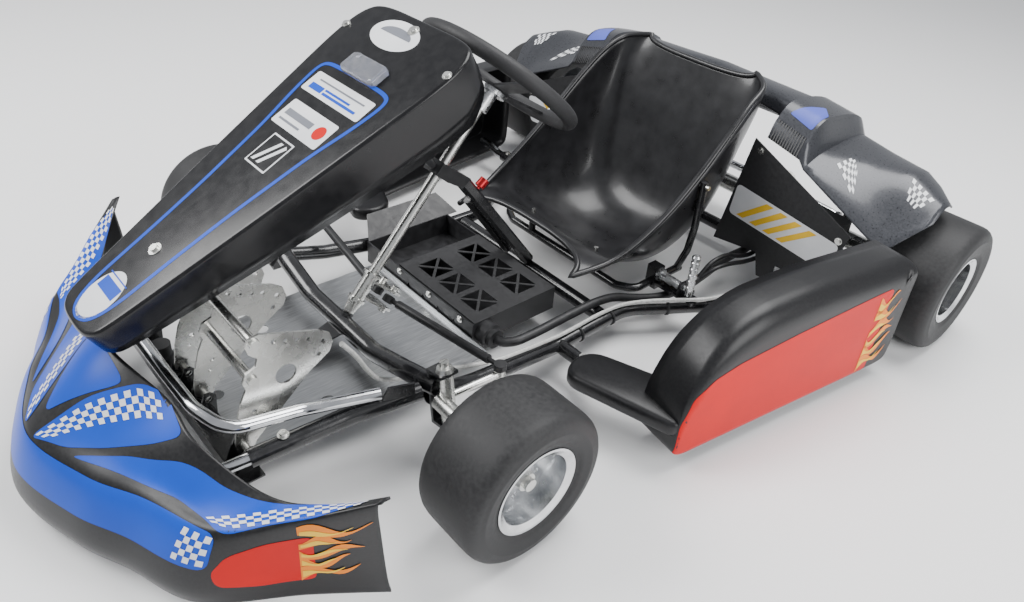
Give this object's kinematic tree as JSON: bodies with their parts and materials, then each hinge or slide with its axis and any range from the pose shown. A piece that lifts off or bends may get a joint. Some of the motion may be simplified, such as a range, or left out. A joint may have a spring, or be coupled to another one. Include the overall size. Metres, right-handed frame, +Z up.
{
  "type": "kart chassis",
  "caption": "Electric slalom kart: tube chassis with steered front wheels, live rear axle, belt drive, bucket seat, pedals, side bumpers, nose and rear cowl.",
  "frame": {"origin": "on the floor, under the middle of the kart's length and width", "axes": "+Z up, +Y from the nose to the rear, +X to the kart's left"},
  "size_m": [1.356, 1.7279, 0.6322],
  "materials": {
    "black_paint": "gloss powder coat",
    "zinc": "zinc plated",
    "chrome": "polished plate",
    "aluminium": "turned or brushed",
    "tyre": "slick rubber",
    "rubber": "matt",
    "moulded_black": "satin mouldings",
    "graphite": "graphite sheen",
    "red_plastic": "anodised red knob",
    "black_plastic": "matt housings",
    "clear": "clear lens",
    "cable": "sleeved cable"
  },
  "bodies": {
    "chassis": {"axle_bearings": "aluminium", "battery_pack": "black_plastic", "bay_covers": "black_plastic", "brake_cable": "cable", "brake_caliper": "aluminium", "bumper_bars": "chrome", "carrying_tubes": "chrome", "column_bearing": "black_plastic", "cross_tubes": "black_paint", "drive_belt": "rubber", "drive_motor": "aluminium", "electronics_tray": "black_paint", "floor_tray": "aluminium", "frame_brackets": "black_paint", "frame_screws": "zinc", "front_channel": "black_paint", "front_cross_tube": "black_paint", "front_panel": "moulded_black", "front_rails": "black_paint", "left_frame_rail": "black_paint", "left_sidepod": "moulded_black", "motor_controller": "aluminium", "nose_fairing": "moulded_black", "panel_light": "clear", "pivot_pins": "zinc", "power_cables": "rubber", "rear_cowl": "graphite", "right_frame_rail": "black_paint", "right_sidepod": "moulded_black", "steering_post": "black_paint", "steering_yokes": "black_paint", "throttle_sensor": "black_plastic", "tray_cover": "black_plastic", "wiring_loom": "black_plastic"},
    "left_knuckle": {"left_knuckle": "zinc"},
    "right_knuckle": {"right_knuckle": "zinc"},
    "left_front_wheel": {"left_front_rim": "aluminium", "left_front_tyre": "tyre"},
    "right_front_wheel": {"right_front_rim": "aluminium", "right_front_tyre": "tyre"},
    "rear_axle_set": {"rear_axle": "zinc", "rear_rims": "aluminium", "rear_tyres": "tyre", "brake_disc": "zinc", "axle_pulley": "aluminium"},
    "motor_rotor": {"motor_pulley": "aluminium"},
    "steering": {"steering_column": "zinc", "steering_hub": "aluminium", "steering_spider": "black_paint", "steering_grip": "rubber"},
    "left_track_rod": {"left_tie_rod": "black_paint"},
    "right_track_rod": {"right_tie_rod": "black_paint"},
    "brake_pedal_body": {"brake_pedal": "zinc"},
    "throttle_pedal_body": {"throttle_pedal": "zinc"},
    "stop_knob": {"stop_button": "red_plastic"},
    "seat": {"seat_shell": "moulded_black", "seat_frame": "black_paint", "seat_bolts": "zinc"},
    "clamp_lever": {"seat_lever": "aluminium"}
  },
  "joints": [
    {"name": "steering_turn", "type": "hinge", "parent": "chassis", "child": "steering", "pos_m": [0, -0.314, 0.117], "axis": [0, 0.6481, 0.7615], "range_deg": [-40, 40]},
    {"name": "left_steer", "type": "hinge", "parent": "chassis", "child": "left_knuckle", "pos_m": [0.29, -0.3, 0.128], "axis": [-0.1736, 0, 0.9848], "range_deg": [-20, 20]},
    {"name": "right_steer", "type": "hinge", "parent": "chassis", "child": "right_knuckle", "pos_m": [-0.29, -0.3, 0.128], "axis": [0.1736, 0, 0.9848], "range_deg": [-20, 20]},
    {"name": "left_rod_pivot", "type": "hinge", "parent": "left_knuckle", "child": "left_track_rod", "pos_m": [0.297, -0.196, 0.147], "axis": [0, 0, 1], "range_deg": [-20, 20]},
    {"name": "right_rod_pivot", "type": "hinge", "parent": "right_knuckle", "child": "right_track_rod", "pos_m": [-0.297, -0.196, 0.147], "axis": [0, 0, 1], "range_deg": [-20, 20]},
    {"name": "left_front_roll", "type": "hinge", "parent": "left_knuckle", "child": "left_front_wheel", "pos_m": [0.464, -0.315, 0.129], "axis": [1, 0, 0], "continuous": true},
    {"name": "right_front_roll", "type": "hinge", "parent": "right_knuckle", "child": "right_front_wheel", "pos_m": [-0.464, -0.315, 0.129], "axis": [1, 0, 0], "continuous": true},
    {"name": "rear_roll", "type": "hinge", "parent": "chassis", "child": "rear_axle_set", "pos_m": [0, 0.724, 0.14], "axis": [1, 0, 0], "continuous": true},
    {"name": "motor_spin", "type": "hinge", "parent": "chassis", "child": "motor_rotor", "pos_m": [-0.262, 0.636, 0.24], "axis": [1, 0, 0], "continuous": true},
    {"name": "brake_press", "type": "hinge", "parent": "chassis", "child": "brake_pedal_body", "pos_m": [0, -0.592, 0.114], "axis": [1, 0, 0], "range_deg": [0, 12], "stiffness_Nm_per_rad": 8, "springref_deg": -8.59},
    {"name": "throttle_press", "type": "hinge", "parent": "chassis", "child": "throttle_pedal_body", "pos_m": [0, -0.592, 0.114], "axis": [1, 0, 0], "range_deg": [0, 12], "stiffness_Nm_per_rad": 8, "springref_deg": -8.59},
    {"name": "stop_push", "type": "slide", "parent": "chassis", "child": "stop_knob", "axis": [0, -0.7901, -0.613], "range_m": [0, 0.004], "stiffness_N_per_m": 400, "springref_m": -0.002},
    {"name": "seat_slide", "type": "slide", "parent": "chassis", "child": "seat", "axis": [0, 1, 0], "range_m": [-0.02, 0.02]},
    {"name": "lever_turn", "type": "hinge", "parent": "chassis", "child": "clamp_lever", "pos_m": [0.3, 0.318, 0.092], "axis": [1, 0, 0], "range_deg": [0, 60]}
  ],
  "couplings": [
    {"joint": "left_steer", "follows": "steering_turn", "ratio": 0.48},
    {"joint": "right_steer", "follows": "steering_turn", "ratio": 0.48},
    {"joint": "left_rod_pivot", "follows": "steering_turn", "ratio": -0.48},
    {"joint": "right_rod_pivot", "follows": "steering_turn", "ratio": -0.48},
    {"joint": "motor_spin", "follows": "rear_roll", "ratio": 4}
  ]
}
